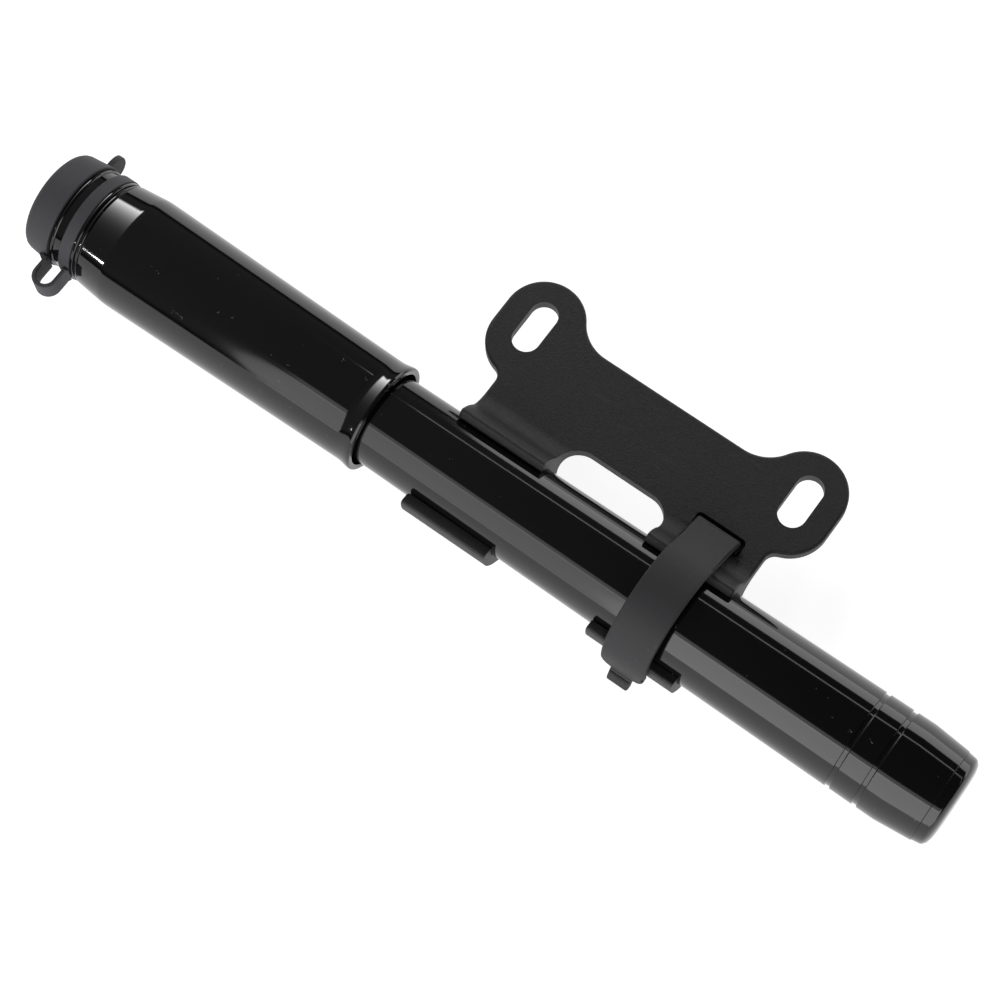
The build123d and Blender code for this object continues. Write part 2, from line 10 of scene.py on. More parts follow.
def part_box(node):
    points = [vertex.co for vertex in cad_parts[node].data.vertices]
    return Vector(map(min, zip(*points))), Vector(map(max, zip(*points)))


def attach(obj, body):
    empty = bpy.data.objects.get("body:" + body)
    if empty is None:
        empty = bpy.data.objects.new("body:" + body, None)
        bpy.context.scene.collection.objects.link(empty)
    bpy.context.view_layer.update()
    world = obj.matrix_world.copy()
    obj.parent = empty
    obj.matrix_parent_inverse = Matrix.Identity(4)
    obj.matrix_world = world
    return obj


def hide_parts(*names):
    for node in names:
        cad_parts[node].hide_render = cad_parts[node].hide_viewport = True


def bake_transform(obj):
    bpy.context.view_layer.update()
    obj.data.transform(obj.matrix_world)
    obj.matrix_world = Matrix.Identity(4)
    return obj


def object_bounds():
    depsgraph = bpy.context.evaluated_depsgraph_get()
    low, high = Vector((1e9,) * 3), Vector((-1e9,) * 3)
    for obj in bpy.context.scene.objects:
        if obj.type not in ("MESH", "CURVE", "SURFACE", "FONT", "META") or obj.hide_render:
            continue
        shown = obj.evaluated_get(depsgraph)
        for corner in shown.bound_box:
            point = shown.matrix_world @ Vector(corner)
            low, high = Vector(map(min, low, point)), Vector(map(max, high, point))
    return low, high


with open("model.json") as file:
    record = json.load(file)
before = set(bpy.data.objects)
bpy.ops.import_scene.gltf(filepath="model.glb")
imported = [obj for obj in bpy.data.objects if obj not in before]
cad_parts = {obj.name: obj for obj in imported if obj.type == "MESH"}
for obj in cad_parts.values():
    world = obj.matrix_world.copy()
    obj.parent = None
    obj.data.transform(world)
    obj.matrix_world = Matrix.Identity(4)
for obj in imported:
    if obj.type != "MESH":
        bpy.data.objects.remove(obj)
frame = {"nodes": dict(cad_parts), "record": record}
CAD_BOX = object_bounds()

bl_info = {
    "name": "Mini Pump and Bracket",
    "version": (1, 0, 0),
    "blender": (4, 5, 0),
    "location": "View3D > Sidebar > Mini Pump",
    "description": "Builds a bicycle mini pump in its frame bracket, piece by piece",
    "category": "Add Mesh",
}

MM = 0.001
BARREL_LOW, BARREL_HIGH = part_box("barrel")
AXIS_Y = (BARREL_LOW.y + BARREL_HIGH.y) / 2
PUMP_CENTRE = Vector((0, AXIS_Y, 0))
FLOOR_Z = CAD_BOX[0].z
SAME_PLACE = 0.000001
LEVEL = 0.00001


# ---------------------------------------------------------------- shader maths


class Wire:
    """A socket that Python's operators do maths on: each one adds a Math node."""

    def __init__(self, nodes, socket):
        self.nodes = nodes
        self.socket = socket

    def maths(self, operation, first, second):
        return self.nodes.node("Math", {"operation": operation}, [first, second])

    def __add__(self, other):
        return self.maths("ADD", self, other)

    def __radd__(self, other):
        return self.maths("ADD", other, self)

    def __mul__(self, other):
        return self.maths("MULTIPLY", self, other)

    def __rmul__(self, other):
        return self.maths("MULTIPLY", other, self)

    def __gt__(self, other):
        return self.maths("GREATER_THAN", self, other)

    def __lt__(self, other):
        return self.maths("LESS_THAN", self, other)


class Nodes:
    """A node tree that is filled by calls."""

    def __init__(self, tree):
        self.tree = tree

    def node(self, kind, settings=None, values=None, output=0):
        """Adds a node: its settings first, then its sockets' values or links, by name or in order."""
        node = self.tree.nodes.new("ShaderNode" + kind)
        for setting, value in (settings or {}).items():
            setattr(node, setting, value)
        values = values or {}
        pairs = values.items() if isinstance(values, dict) else enumerate(values)
        for socket, value in pairs:
            if isinstance(value, Wire):
                self.tree.links.new(value.socket, node.inputs[socket])
            else:
                node.inputs[socket].default_value = value
        return Wire(self, node.outputs[output])

    def step(self, value, start, end, low=0.0, high=1.0):
        """Goes smoothly from low to high as the value goes from start to end."""
        return self.node(
            "MapRange",
            {"interpolation_type": "SMOOTHSTEP"},
            {"Value": value, "From Min": start, "From Max": end, "To Min": low, "To Max": high},
        )


class Finish(Nodes):
    """One node material: a Principled shader with its fixed numbers on its own sockets."""

    def __init__(self, name, **fixed):
        self.material = bpy.data.materials.new(name)
        self.material.use_nodes = True
        super().__init__(self.material.node_tree)
        self.shader = self.tree.nodes["Principled BSDF"]
        for socket, value in fixed.items():
            self.shader.inputs[socket.replace("_", " ")].default_value = value
        self.place = self.node("TexCoord", output="Object")

    def grain(self, per_millimetre, detail=3.0, stretch=(1, 1, 1), roughness=0.5):
        """Noise with about that many lumps in a millimetre, from 0 to 1."""
        place = self.node(
            "Mapping", {"vector_type": "POINT"}, {"Vector": self.place, "Scale": stretch}
        )
        return self.node(
            "TexNoise",
            {"noise_dimensions": "3D"},
            {
                "Vector": place,
                "Scale": per_millimetre / MM,
                "Detail": detail,
                "Roughness": roughness,
            },
        )

    def between(self, amount, first, second):
        """A colour that goes from first to second as amount goes from 0 to 1."""
        return self.node(
            "Mix",
            {"data_type": "RGBA", "clamp_factor": True},
            {0: amount, 6: self.tint(first), 7: self.tint(second)},
            output=2,
        )

    def tint(self, colour):
        """A colour socket as it is, or a colour with its alpha."""
        return colour if isinstance(colour, Wire) else (*colour, 1)

    def relief(self, height, depth, strength=1.0, under=None):
        """A Bump node from a height of 0 to 1 that stands for depth metres."""
        values = {"Height": height, "Distance": depth, "Strength": strength}
        if under is not None:
            values["Normal"] = under
        return self.node("Bump", None, values)

    def fit(self, **sockets):
        """Links what changes over the surface to the shader's sockets."""
        for socket, wire in sockets.items():
            self.tree.links.new(wire.socket, self.shader.inputs[socket.replace("_", " ")])
        return self.material


def lighter(colour, by):
    """That colour, with its linear values multiplied."""
    return tuple(channel * by for channel in colour)


def polished_plastic(colours):
    """Gloss black moulding: faint flow waves, hairline haze and a few specks of dust."""
    finish = Finish("polished_plastic", IOR=1.5, Specular_IOR_Level=0.5)
    dust = (finish.grain(0.5, 1.0) > 0.735) * (finish.grain(4.5, 0.0) > 0.69)
    haze = finish.grain(0.06, 4.0)
    rubbed = finish.grain(0.9, 2.0, stretch=(0.08, 1, 1))
    colour = finish.between(dust * 0.35, colours.gloss, (0.3, 0.3, 0.3))
    waves = finish.relief(finish.grain(0.05, 1.0), 0.00002, 0.6)
    return finish.fit(
        Base_Color=colour,
        Roughness=0.035 + haze * 0.05 + rubbed * 0.02 + dust * 0.4,
        Normal=finish.relief(rubbed, 0.0000006, 0.5, under=waves),
    )


def textured_plastic(colours):
    """Glass-filled plastic with a fine spark-eroded texture, painted shade in the texture's hollows
    and paler scuffs.
    """
    finish = Finish("textured_plastic", IOR=1.5, Specular_IOR_Level=0.38)
    texture = finish.grain(2.4, 4.0, roughness=0.7)
    pits = finish.grain(5.5, 2.0)
    cloud = finish.grain(0.05, 3.0)
    scuff = finish.step(finish.grain(0.35, 4.0, stretch=(0.3, 1, 1)), 0.62, 0.74)
    worn = lighter(colours.bracket, 1.7)
    shade = finish.between(cloud, lighter(colours.bracket, 0.8), lighter(colours.bracket, 1.2))
    # Painted shade: where the texture's bump is lowest, in its hollows, the colour is darkened to
    # stand in for the shade that falls there.
    hollow_shade_colour = lighter(colours.bracket, 0.55)
    hollow_shaded = finish.between(finish.step(texture, 0.62, 0.35), shade, hollow_shade_colour)
    return finish.fit(
        Base_Color=finish.between(scuff * texture, hollow_shaded, worn),
        Roughness=0.38 + texture * 0.2 + cloud * 0.06,
        Normal=finish.relief(
            texture, 0.00012, 0.7, under=finish.relief(pits, 0.00004, 0.4)
        ),
    )


def soft_rubber(name, colour, bloom):
    """Matte rubber with a fine grain and a pale bloom in patches."""
    finish = Finish(name, IOR=1.5, Specular_IOR_Level=0.35)
    skin = finish.grain(3.2, 3.0)
    patches = finish.grain(0.12, 4.0)
    specks = finish.grain(1.1, 1.0) > 0.74
    shade = finish.between(patches, lighter(colour, 0.85), lighter(colour, bloom))
    return finish.fit(
        Base_Color=finish.between(specks * 0.2, shade, lighter(colour, 3.0)),
        Roughness=0.52 + skin * 0.16 + patches * 0.08,
        Normal=finish.relief(skin, 0.00004, 0.5),
    )


def moulded_nylon(colours):
    """Off-white bearing plastic, slightly cloudy."""
    finish = Finish("moulded_nylon", IOR=1.53)
    cloud = finish.grain(0.3, 3.0)
    colour = finish.between(cloud, lighter(colours.nylon, 0.88), colours.nylon)
    return finish.fit(
        Base_Color=colour,
        Roughness=0.38 + cloud * 0.2,
        Normal=finish.relief(finish.grain(2.0, 2.0), 0.00002, 0.4),
    )


def drawn_metal(name, colour, polish):
    """Metal with lengthwise drawing lines and a little oil haze."""
    finish = Finish(name, Metallic=1.0)
    lines = finish.grain(6.0, 2.0, stretch=(0.02, 1, 1))
    haze = finish.grain(0.15, 3.0)
    shade = finish.between(haze, lighter(colour, 0.85), colour)
    return finish.fit(
        Base_Color=shade,
        Roughness=polish + lines * 0.12 + haze * 0.08,
        Normal=finish.relief(lines, 0.000004, 0.4),
    )


# ------------------------------------------------------------------ mesh tools


def smooth_skin(piece, sharp_over=38):
    """Smooth shading that keeps the edges over that angle crisp, and flat faces flat."""
    piece.data.shade_smooth()
    piece.data.set_sharp_from_angle(angle=radians(sharp_over))
    weights = piece.modifiers.new("Weighted Normal", "WEIGHTED_NORMAL")
    weights.keep_sharp = True


def settle(bm, name, material, body, nodes, sharp_over=38):
    """Makes the object from its bmesh, with its finish and body, in place of its CAD nodes."""
    mesh = bpy.data.meshes.new(name)
    bm.to_mesh(mesh)
    bm.free()
    piece = bpy.data.objects.new(name, mesh)
    bpy.context.scene.collection.objects.link(piece)
    mesh.materials.append(bpy.data.materials[material])
    smooth_skin(piece, sharp_over)
    if body:
        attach(piece, body)
    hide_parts(*nodes)
    return piece


def soften(bm, edges, width, segments=3):
    """Rounds those edges by that width in millimetres."""
    bmesh.ops.bevel(
        bm,
        geom=edges,
        offset=width * MM,
        offset_type="OFFSET",
        affect="EDGES",
        segments=segments,
        profile=0.5,
        clamp_overlap=True,
        material=-1,
    )


def turned(outline, steps=128):
    """A bmesh spun round the pump from (station, radius, rounding) points, in millimetres."""
    bm = bmesh.new()
    corners = [
        bm.verts.new((station * MM, AXIS_Y + radius * MM, 0)) for station, radius, _ in outline
    ]
    runs = [
        bm.edges.new((corner, corners[(index + 1) % len(corners)]))
        for index, corner in enumerate(corners)
        if outline[index][1] + outline[(index + 1) % len(corners)][1] > 0
    ]
    bmesh.ops.spin(
        bm,
        geom=corners + runs,
        cent=PUMP_CENTRE,
        axis=(1, 0, 0),
        angle=2 * pi,
        steps=steps,
        use_merge=True,
    )
    bmesh.ops.remove_doubles(bm, verts=bm.verts[:], dist=SAME_PLACE)
    bmesh.ops.recalc_face_normals(bm, faces=bm.faces[:])
    for station, radius, rounding in outline:
        if rounding:
            place = Vector((station * MM, radius * MM))
            ring = [
                edge
                for edge in bm.edges
                if all((girth(vert) - place).length < 2 * SAME_PLACE for vert in edge.verts)
            ]
            soften(bm, ring, rounding, 4)
    return bm


def girth(vert):
    """A vertex's station and its distance from the pump's axis."""
    return Vector((vert.co.x, hypot(vert.co.y - AXIS_Y, vert.co.z)))


def carried(bm, face, by):
    """Extrudes a face by a vector and returns the face at the far end."""
    grown = bmesh.ops.extrude_face_region(bm, geom=[face], use_keep_orig=False)["geom"]
    fresh = [item for item in grown if isinstance(item, bmesh.types.BMVert)]
    bmesh.ops.translate(bm, verts=fresh, vec=by)
    return next(item for item in grown if isinstance(item, bmesh.types.BMFace))


def swept(bm, face, centre, axis, angle, steps):
    """Spins a face round an axis and returns the face at the far end."""
    grown = bmesh.ops.spin(
        bm, geom=[face], cent=centre, axis=axis, angle=radians(angle), steps=steps
    )["geom_last"]
    return next(item for item in grown if isinstance(item, bmesh.types.BMFace))


def resized(bm, face, about, factor, axis):
    """Scales a face along one axis about a place on it."""
    sizes = [1, 1, 1]
    sizes[axis] = factor
    middle = Vector((0, 0, 0))
    middle[axis] = about
    bmesh.ops.scale(
        bm, verts=face.verts[:], vec=sizes, space=Matrix.Translation(-middle)
    )


def sharp_edges(bm, over):
    """The edges whose two faces meet at more than that angle."""
    return [
        edge for edge in bm.edges if edge.is_manifold and edge.calc_face_angle(0) > radians(over)
    ]


def add_box(bm, size, middle):
    """Adds a box of that size round its middle and returns its edges."""
    corners = bmesh.ops.create_cube(bm, size=1)["verts"]
    bmesh.ops.scale(bm, verts=corners, vec=size)
    bmesh.ops.translate(bm, verts=corners, vec=middle)
    return {edge for corner in corners for edge in corner.link_edges}


def merged_copy(node):
    """A bmesh of a CAD node's mesh, with its loose triangles joined up."""
    bm = bmesh.new()
    bm.from_mesh(frame["nodes"][node].data)
    bmesh.ops.remove_doubles(bm, verts=bm.verts[:], dist=SAME_PLACE)
    return bm


# --------------------------------------------------------------- the settings


class PumpColours(bpy.types.PropertyGroup):
    """Colours of the pump's materials."""

    gloss: FloatVectorProperty(
        name="Pump plastic",
        description="Polished plastic of the barrel, sleeve and valve head",
        subtype="COLOR",
        default=(0.0030, 0.0027, 0.0031),
        min=0,
        max=1,
    )
    bracket: FloatVectorProperty(
        name="Bracket plastic",
        description="Textured plastic of the frame bracket",
        subtype="COLOR",
        default=(0.0125, 0.0116, 0.0129),
        min=0,
        max=1,
    )
    rubber: FloatVectorProperty(
        name="Rubber",
        description="Rubber of the cap, its loop and the band",
        subtype="COLOR",
        default=(0.040, 0.0395, 0.044),
        min=0,
        max=1,
    )
    strap: FloatVectorProperty(
        name="Strap rubber",
        description="Rubber of the strap, and a darker shade of it on the seals",
        subtype="COLOR",
        default=(0.020, 0.0195, 0.0215),
        min=0,
        max=1,
    )
    nylon: FloatVectorProperty(
        name="Bearing plastic",
        description="Plastic of the guide bush, piston and chuck insert",
        subtype="COLOR",
        default=(0.62, 0.61, 0.57),
        min=0,
        max=1,
    )
    aluminium: FloatVectorProperty(
        name="Aluminium",
        description="Drawn aluminium of the piston rod",
        subtype="COLOR",
        default=(0.66, 0.67, 0.69),
        min=0,
        max=1,
    )
    steel: FloatVectorProperty(
        name="Steel",
        description="Steel of the ball, spring, nut and screw",
        subtype="COLOR",
        default=(0.56, 0.55, 0.54),
        min=0,
        max=1,
    )


class PumpSizes(bpy.types.PropertyGroup):
    """Small sizes of the finished surfaces."""

    edge: FloatProperty(
        name="Bracket edge",
        description="Rounding of the bracket's moulded edges",
        unit="LENGTH",
        default=0.00028,
        min=0.0001,
        max=0.001,
    )
    strap_edge: FloatProperty(
        name="Strap edge",
        description="Rounding of the strap's long edges",
        unit="LENGTH",
        default=0.00045,
        min=0.0001,
        max=0.001,
    )


class PumpStage(bpy.types.PropertyGroup):
    """The lights and the floor."""

    panel: FloatProperty(
        name="Side lights",
        description="Power that each side light takes its own share of",
        unit="POWER",
        default=14.0,
        min=0,
    )
    floor_glow: FloatProperty(
        name="Floor glow",
        description="Brightness that the lit table adds under the pump",
        default=0.88,
        min=0,
        max=2,
    )


# -------------------------------------------------------------- the operators


class PUMP_OT_finishes(bpy.types.Operator):
    """Makes the materials of the pump and its bracket"""

    bl_idname = "pump.finishes"
    bl_label = "Make Finishes"

    def execute(self, context):
        colours = context.scene.pump_colours
        polished_plastic(colours)
        textured_plastic(colours)
        soft_rubber("cap_rubber", colours.rubber, 1.25)
        soft_rubber("strap_rubber", colours.strap, 1.2)
        soft_rubber("seal_rubber", lighter(colours.strap, 0.6), 1.1)
        moulded_nylon(colours)
        drawn_metal("drawn_aluminium", colours.aluminium, 0.2)
        drawn_metal("ground_steel", colours.steel, 0.24)
        return {"FINISHED"}


class PUMP_OT_stage(bpy.types.Operator):
    """Sets the camera, the pale floor and the soft lights"""

    bl_idname = "pump.stage"
    bl_label = "Set Stage"

    def execute(self, context):
        scene = context.scene
        scene.view_settings.view_transform = "Standard"
        self.place_camera(scene)
        self.lay_floor(scene)
        self.hang_lights(scene)
        self.light_room(scene)
        return {"FINISHED"}

    def place_camera(self, scene):
        """The camera looks down on the pump, which lies slantwise across the picture."""
        data = bpy.data.cameras.new("camera")
        data.sensor_width = 36
        data.lens = 98.255
        camera = bpy.data.objects.new("camera", data)
        camera.location = (0.100473, -0.175233, 0.504561)
        camera.rotation_euler = (radians(20.00446), radians(1.26174), radians(36.04132))
        scene.collection.objects.link(camera)
        scene.camera = camera

    def lay_floor(self, scene):
        """The floor: pale paper that glows a little, so that it stays bright under the pump."""
        bm = bmesh.new()
        bmesh.ops.create_grid(bm, x_segments=1, y_segments=1, size=6)
        bmesh.ops.translate(bm, verts=bm.verts[:], vec=(0, 0, FLOOR_Z))
        mesh = bpy.data.meshes.new("floor")
        bm.to_mesh(mesh)
        bm.free()
        floor = bpy.data.objects.new("floor", mesh)
        scene.collection.objects.link(floor)
        paper = Finish("pale_floor", Specular_IOR_Level=0.0)
        paper.shader.inputs["Emission Strength"].default_value = scene.pump_stage.floor_glow
        paper.shader.inputs["Emission Color"].default_value = (1, 1, 1, 1)
        tone = paper.between(paper.grain(0.004, 2.0), (0.41, 0.41, 0.41), (0.43, 0.43, 0.43))
        mesh.materials.append(paper.fit(Base_Color=tone))

    def hang_lights(self, scene):
        """Long lights along both sides of the pump, and a small lamp near its head."""
        power = scene.pump_stage.panel
        panels = (
            # name, place, aims at, width, height, share of the power
            ("panel_near", (0.6, -1.0, 0.3), (0.6, AXIS_Y, 0.0), 1.54, 0.96, 1.1),
            ("panel_near_left", (-0.28, -1.0, 0.3), (-0.28, AXIS_Y, 0.0), 0.22, 0.96, 0.1),
            ("panel_near_fringe", (0.49, -0.84, 0.82), (0.49, AXIS_Y, 0.0), 1.76, 0.17, 0.08),
            ("panel_far", (0.52, 1.05, 0.22), (0.52, AXIS_Y, 0.0), 1.66, 0.46, 0.42),
            ("strip_far", (0.52, 0.68, 0.66), (0.52, AXIS_Y, 0.0), 1.66, 0.04, 0.035),
            ("lamp", (-0.644, -0.84, 0.26), (-0.1, AXIS_Y, 0.0), 0.012, 0.04, 0.05),
        )
        for name, place, target, width, height, share in panels:
            data = bpy.data.lights.new(name, "AREA")
            data.shape = "RECTANGLE"
            data.size, data.size_y = width, height
            data.energy = power * share
            light = bpy.data.objects.new(name, data)
            light.location = place
            aim = Vector(target) - Vector(place)
            light.rotation_euler = aim.to_track_quat("-Z", "Y").to_euler()
            light.visible_camera = False
            scene.collection.objects.link(light)

    def light_room(self, scene):
        """A dim ceiling, brighter past the pump's head, with a bright window high beyond it."""
        world = bpy.data.worlds.new("studio")
        scene.world = world
        world.use_nodes = True
        sky = Nodes(world.node_tree)
        heading = sky.node("TexCoord", output="Generated")
        across, along_y, up = (
            sky.node("SeparateXYZ", None, [heading], output=index) for index in range(3)
        )
        dim, bright, horizon = 0.04, 0.17, 0.05
        overhead = sky.step(across, -0.05, -0.35, dim, bright)
        ceiling = sky.step(up, 0.05, 0.2, horizon, 1.0) * overhead
        far_glow = sky.node("Math", {"operation": "EXPONENT"}, [along_y * 5.0]) * 0.4
        window = sky.step(across, -0.42, -0.47) * sky.step(up, 0.38, 0.46) * far_glow
        glow = ceiling + window
        background = world.node_tree.nodes["Background"]
        background.inputs["Color"].default_value = (1, 1, 1, 1)
        world.node_tree.links.new(glow.socket, background.inputs["Strength"])


class PUMP_OT_bracket(bpy.types.Operator):
    """Builds the bracket with its moulded edges rounded"""

    bl_idname = "pump.bracket"
    bl_label = "Build Bracket"

    def execute(self, context):
        bm = merged_copy("bracket")
        bmesh.ops.dissolve_limit(
            bm, angle_limit=radians(0.6), verts=bm.verts[:], edges=bm.edges[:], delimit={"NORMAL"}
        )
        soften(bm, sharp_edges(bm, 40), context.scene.pump_sizes.edge / MM, 2)
        bmesh.ops.triangulate(bm, faces=[face for face in bm.faces if len(face.verts) > 4])
        settle(bm, "frame_bracket", "textured_plastic", "bracket", ["bracket"])
        return {"FINISHED"}


class PUMP_OT_strap(bpy.types.Operator):
    """Builds the rubber strap: bar, neck, loop over the clip, rounded end and tongue"""

    bl_idname = "pump.strap"
    bl_label = "Build Strap"

    # Its sizes and places, in millimetres
    x_low, x_high, x_middle = 17.6, 27.5, 22.55
    thick = 1.8
    loop_radius = 13.7
    bend_radius = 1.9
    neck_y = -15.0
    neck_foot = -0.6
    neck_top = 3.0
    end_z = -3.9
    end_corner, beside_tongue = 2.8, 4
    tongue_half_width = 2.5
    tongue_neck, tongue_tail = (0, -0.3, -0.8), (0, -1.3, -2.7)
    bar_size, bar_middle, bar_rounding = (12.8, 4.6, 2.6), (22.6, -14.6, -1.4), 0.5

    def execute(self, context):
        x_low, x_high, half = self.x_low * MM, self.x_high * MM, self.thick / 2 * MM
        bm = bmesh.new()
        corners = [
            (x_low, self.neck_y * MM - half, self.neck_foot * MM),
            (x_high, self.neck_y * MM - half, self.neck_foot * MM),
            (x_high, self.neck_y * MM + half, self.neck_foot * MM),
            (x_low, self.neck_y * MM + half, self.neck_foot * MM),
        ]
        face = bm.faces.new([bm.verts.new(corner) for corner in corners])
        face = carried(bm, face, Vector((0, 0, (self.neck_top - self.neck_foot) * MM)))
        bend = Vector((0, (self.neck_y - self.bend_radius) * MM, self.neck_top * MM))
        turn, reach = self.bend_to_clip(bend)
        face = swept(bm, face, bend, (1, 0, 0), turn, 8)
        slope = reach - face.calc_center_median()
        slope.x = 0
        face = carried(bm, face, slope / 2)
        face = carried(bm, face, slope / 2)
        face = swept(bm, face, PUMP_CENTRE, (1, 0, 0), 180 - turn, 32)
        face = carried(bm, face, Vector((0, 0, self.end_z * MM)))
        self.add_tongue(bm, face)
        bmesh.ops.recalc_face_normals(bm, faces=bm.faces[:])
        self.round_ends(bm)
        soften(bm, sharp_edges(bm, 45), context.scene.pump_sizes.strap_edge / MM, 3)
        self.add_bar(bm)
        settle(bm, "retaining_strap", "strap_rubber", "strap", ["strap"])
        return {"FINISHED"}

    def bend_to_clip(self, bend):
        """How far the neck turns before it runs straight to the loop, and where it meets it."""
        small, large = self.bend_radius * MM, self.loop_radius * MM
        span = bend - PUMP_CENTRE
        lean = atan2(span.y, span.z)
        touch = lean - acos((large - small) / hypot(span.y, span.z))
        meet = PUMP_CENTRE + Vector((0, large * sin(touch), large * cos(touch)))
        return 90 - degrees(touch), meet

    def add_tongue(self, bm, face):
        """The finger tongue: a narrower tail below the strap's end that leans outwards."""
        middle = face.calc_center_median()
        corners = [
            (
                middle.x + side * self.tongue_half_width * MM,
                middle.y + out * self.thick / 2 * MM,
                middle.z,
            )
            for side, out in ((-1, -1), (1, -1), (1, 1), (-1, 1))
        ]
        tail = bm.faces.new([bm.verts.new(corner) for corner in corners])
        tail = carried(bm, tail, Vector(self.tongue_neck) * MM)
        carried(bm, tail, Vector(self.tongue_tail) * MM)

    def round_ends(self, bm):
        """Rounds the strap's two bottom corners."""
        sides = {
            vert
            for vert in bm.verts
            if abs(vert.co.x - self.x_middle * MM) > self.beside_tongue * MM
        }
        low = min(vert.co.z for vert in sides)
        corners = [
            edge
            for edge in bm.edges
            if all(vert in sides and abs(vert.co.z - low) < LEVEL for vert in edge.verts)
            and abs(edge.verts[0].co.x - edge.verts[1].co.x) < LEVEL
        ]
        soften(bm, corners, self.end_corner, 8)

    def add_bar(self, bm):
        """The bar under the plate that holds the strap in its slot."""
        edges = add_box(bm, Vector(self.bar_size) * MM, Vector(self.bar_middle) * MM)
        soften(bm, list(edges), self.bar_rounding, 3)


class PUMP_OT_barrel(bpy.types.Operator):
    """Builds the barrel with its ring grooves, and the domed end plug"""

    bl_idname = "pump.barrel"
    bl_label = "Build Barrel"

    # Its sizes and stations, in millimetres
    grooves = (67.4, 73.5)
    groove_half, groove_depth = 0.5, 0.35
    middle_radius, taper = 10.175, 0.00836

    def execute(self, context):
        outline = [(-107.5, 7.6, 0), (-107.5, 9.78, 0.2), (-47.0, 9.78, 0)]
        for groove in self.grooves:
            for side in (-self.groove_half, self.groove_half):
                station = groove + side
                edge, floor = self.cone(station), self.cone(groove) - self.groove_depth
                corner = [(station, edge, 0.12), (station, floor, 0.1)]
                outline += corner if side < 0 else corner[::-1]
        outline += [(78.0, self.cone(78), 0.5), (85.9, 10.1, 0.12), (85.9, 7.6, 0)]
        settle(turned(outline), "pump_barrel", "polished_plastic", "barrel", ["barrel"])
        plug = [
            (80.0, 0, 0),
            (80.0, 7.55, 0),
            (85.9, 7.55, 0),
            (85.9, 9.95, 0.1),
            (87.9, 9.67, 0.35),
            (88.62, 8.85, 0),
            (89.0, 7.6, 0),
            (89.16, 6.1, 0),
            (89.25, 4.2, 0),
            (89.29, 2.1, 0),
            (89.3, 0, 0),
        ]
        settle(turned(plug), "domed_end_plug", "polished_plastic", "barrel", ["end_plug"])
        return {"FINISHED"}

    def cone(self, station):
        """Outer radius of the barrel at a station, in millimetres."""
        return self.middle_radius + self.taper * station


class PUMP_OT_sleeve(bpy.types.Operator):
    """Builds the sleeve with its bell-mouthed rim, and the valve head"""

    bl_idname = "pump.sleeve"
    bl_label = "Build Sleeve and Head"

    def execute(self, context):
        sleeve = [
            (-114.8, 10.65, 0),
            (-114.8, 11.77, 0.25),
            (-108.5, 12.44, 0.3),
            (-107.0, 12.46, 0),
            (-49.6, 11.62, 0),
            (-48.6, 11.63, 0),
            (-47.6, 11.72, 0),
            (-46.8, 11.88, 0),
            (-46.1, 12.0, 0),
            (-45.3, 12.0, 0.4),
            (-45.3, 10.65, 0.2),
        ]
        settle(turned(sleeve), "pump_sleeve", "polished_plastic", "pump_head", ["sleeve"])
        head = [
            (-118.6, 1.4, 0),
            (-118.6, 6.2, 0),
            (-127.0, 6.2, 0.15),
            (-127.0, 7.2, 0.2),
            (-122.4, 7.2, 0),
            (-122.4, 11.05, 0.1),
            (-122.1, 11.1, 0),
            (-121.95, 11.45, 0.16),
            (-121.4, 11.45, 0.16),
            (-121.25, 11.2, 0),
            (-119.5, 11.2, 0.1),
            (-119.5, 10.9, 0),
            (-116.75, 10.9, 0),
            (-116.75, 11.2, 0),
            (-116.6, 11.65, 0.14),
            (-115.95, 11.65, 0.14),
            (-115.85, 11.2, 0),
            (-115.65, 11.2, 0),
            (-115.55, 11.55, 0.12),
            (-115.05, 11.55, 0.12),
            (-114.95, 11.2, 0),
            (-114.8, 11.2, 0),
            (-114.8, 10.6, 0),
            (-111.5, 10.6, 0),
            (-111.5, 1.4, 0),
        ]
        settle(turned(head), "pump_valve_head", "polished_plastic", "pump_head", ["valve_head"])
        return {"FINISHED"}


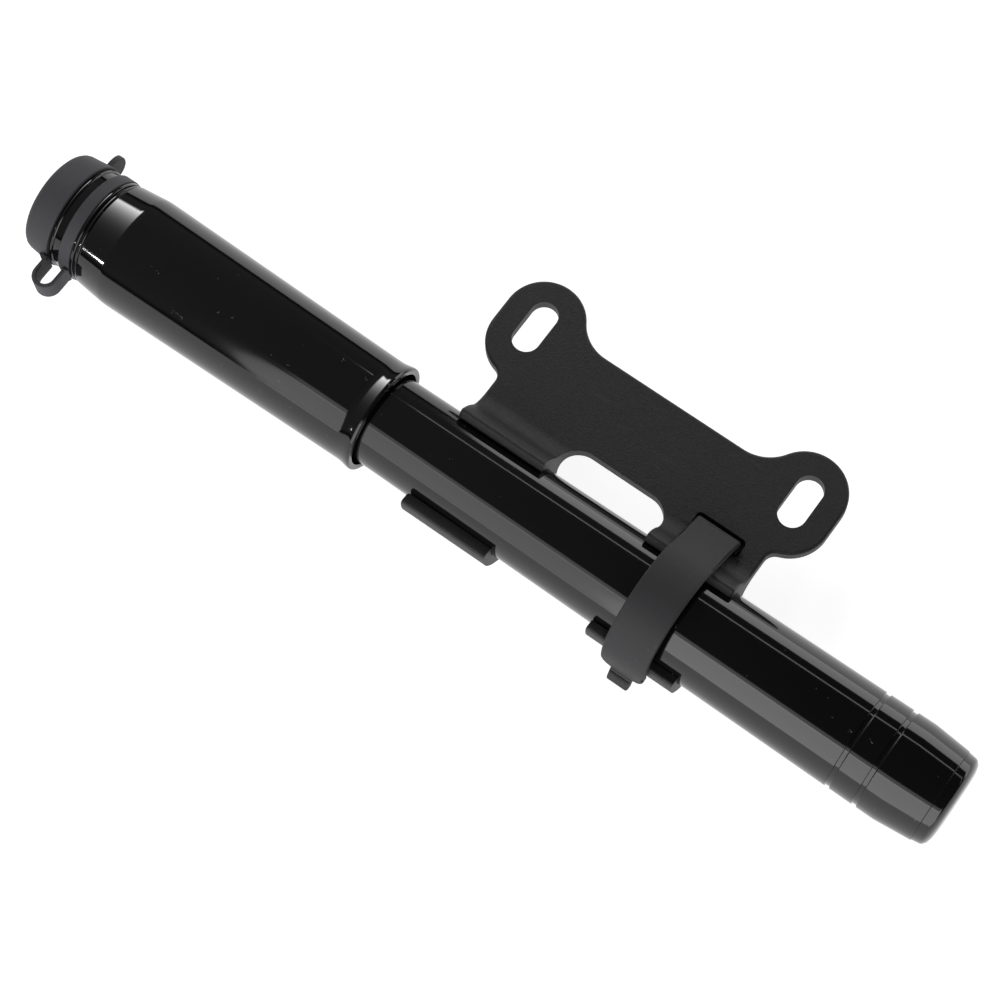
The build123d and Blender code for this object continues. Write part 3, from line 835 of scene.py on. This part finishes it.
class PUMP_OT_cap(bpy.types.Operator):
    """Builds the rubber band, the dust cap with its tab, and the loop between them"""

    bl_idname = "pump.cap"
    bl_label = "Build Cap and Loop"

    # The pull tab's size, its place from the axis and its roundings, in millimetres
    tab_size = (1.15, 4.6, 6.2)
    tab_station, tab_out, tab_root = -124.2, 12.8, 12.2
    tab_corner, edge_rounding = 2.9, 0.25
    # The loop's strip, where it leaves the cap, and where it turns, in millimetres
    strip_half_width, strip_half_thick = 2.4, 0.475
    limb_station, band_station = -122.05, -117.3
    foot_out, turn_station, turn_out = 11.8, -119.675, 15.35

    def execute(self, context):
        band = [
            (-119.48, 10.92, 0),
            (-119.48, 11.83, 0.22),
            (-116.77, 11.83, 0.22),
            (-116.77, 10.92, 0),
        ]
        settle(turned(band), "rubber_head_band", "cap_rubber", "pump_head", ["head_band"])
        cap = [
            (-129.3, 0, 0),
            (-129.3, 11.1, 1.5),
            (-122.45, 11.85, 0.3),
            (-122.45, 10.3, 0.2),
            (-127.6, 10.3, 0.6),
            (-127.6, 0, 0),
        ]
        bm = turned(cap)
        self.add_tab(bm)
        settle(bm, "rubber_dust_cap", "cap_rubber", "dust_cap", ["dust_cap"])
        self.add_loop()
        return {"FINISHED"}

    def add_tab(self, bm):
        """The pull tab: a rounded tongue that stands out of the cap's skirt."""
        size = Vector(self.tab_size) * MM
        centre = Vector((self.tab_station * MM, AXIS_Y + self.tab_out * MM, 0))
        root = AXIS_Y + self.tab_root * MM
        tips = [
            edge
            for edge in add_box(bm, size, centre)
            if all(vert.co.y > centre.y for vert in edge.verts)
            and abs(edge.verts[0].co.x - edge.verts[1].co.x) > size.x / 2
        ]
        soften(bm, tips, self.tab_corner, 8)
        rims = [
            edge for edge in sharp_edges(bm, 60) if all(vert.co.y > root for vert in edge.verts)
        ]
        soften(bm, rims, self.edge_rounding, 3)

    def add_loop(self):
        """The tether: a flat strip that leaves the cap, turns round and comes back to the band."""
        bm = bmesh.new()
        low, high = -self.strip_half_width * MM, self.strip_half_width * MM
        limb, half = self.limb_station * MM, self.strip_half_thick * MM
        foot = AXIS_Y - self.foot_out * MM
        centre = Vector((self.turn_station * MM, AXIS_Y - self.turn_out * MM, 0))
        corners = [
            (limb - 3.6 * half, foot, low),
            (limb + half, foot, low),
            (limb + half, foot, high),
            (limb - 3.6 * half, foot, high),
        ]
        face = bm.faces.new([bm.verts.new(corner) for corner in corners])
        face = carried(bm, face, Vector((0, -0.55 * MM, 0)))
        face = carried(bm, face, Vector((0, -0.75 * MM, 0)))
        resized(bm, face, limb + half, 2 / 4.6, 0)
        face = carried(bm, face, Vector((0, centre.y - foot + 1.3 * MM, 0)))
        face = swept(bm, face, centre, (0, 0, 1), 180, 16)
        face = carried(bm, face, Vector((0, foot - centre.y - 0.7 * MM, 0)))
        face = carried(bm, face, Vector((0, 0.7 * MM, 0)))
        resized(bm, face, self.band_station * MM, 1.8, 0)
        bmesh.ops.recalc_face_normals(bm, faces=bm.faces[:])
        soften(bm, sharp_edges(bm, 50), self.edge_rounding, 3)
        piece = settle(bm, "rubber_tether_loop", "cap_rubber", None, ["tether_loop"])
        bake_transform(piece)


class PUMP_OT_workings(bpy.types.Operator):
    """Finishes the working parts inside: chuck, check valve, rod, piston, bush and seals"""

    bl_idname = "pump.workings"
    bl_label = "Finish Workings"

    finishes = {
        "chuck_nut": "polished_plastic",
        "chuck_grommet": "seal_rubber",
        "chuck_core": "moulded_nylon",
        "check_seat": "moulded_nylon",
        "check_ball": "ground_steel",
        "check_spring": "ground_steel",
        "piston_rod": "drawn_aluminium",
        "rod_nut": "ground_steel",
        "piston": "moulded_nylon",
        "piston_screw": "ground_steel",
        "guide_bush": "moulded_nylon",
        "guide_seal": "seal_rubber",
        "end_plug_seal": "seal_rubber",
        "sleeve_seal": "seal_rubber",
        "piston_seal": "seal_rubber",
        "stroke_bumper": "seal_rubber",
    }

    def execute(self, context):
        bodies = frame["record"]["behaviour"]["bodies"]
        for node, material in self.finishes.items():
            body = next(name for name, nodes in bodies.items() if node in nodes)
            settle(merged_copy(node), "inner_" + node, material, body, [node], 30)
        return {"FINISHED"}


class PUMP_PT_panel(bpy.types.Panel):
    """Lists the steps that build the pump, with its colours and sizes"""

    bl_idname = "PUMP_PT_panel"
    bl_label = "Mini Pump"
    bl_space_type = "VIEW_3D"
    bl_region_type = "UI"
    bl_category = "Mini Pump"

    def draw(self, context):
        layout = self.layout
        for group in ("pump_colours", "pump_sizes", "pump_stage"):
            settings = getattr(context.scene, group)
            box = layout.box()
            for setting in settings.__annotations__:
                box.prop(settings, setting)
        column = layout.column(align=True)
        for operator in OPERATORS:
            column.operator(operator.bl_idname)


OPERATORS = (
    PUMP_OT_stage,
    PUMP_OT_finishes,
    PUMP_OT_bracket,
    PUMP_OT_strap,
    PUMP_OT_barrel,
    PUMP_OT_sleeve,
    PUMP_OT_cap,
    PUMP_OT_workings,
)
GROUPS = {"pump_colours": PumpColours, "pump_sizes": PumpSizes, "pump_stage": PumpStage}


def register():
    for cls in (*GROUPS.values(), *OPERATORS, PUMP_PT_panel):
        bpy.utils.register_class(cls)
    for name, group in GROUPS.items():
        setattr(bpy.types.Scene, name, PointerProperty(type=group))


def unregister():
    for name in GROUPS:
        delattr(bpy.types.Scene, name)
    for cls in reversed((*GROUPS.values(), *OPERATORS, PUMP_PT_panel)):
        bpy.utils.unregister_class(cls)


def main():
    register()
    for step in ("stage", "finishes", "bracket", "strap", "barrel", "sleeve", "cap", "workings"):
        getattr(bpy.ops.pump, step)()


if __name__ == "__main__":
    main()
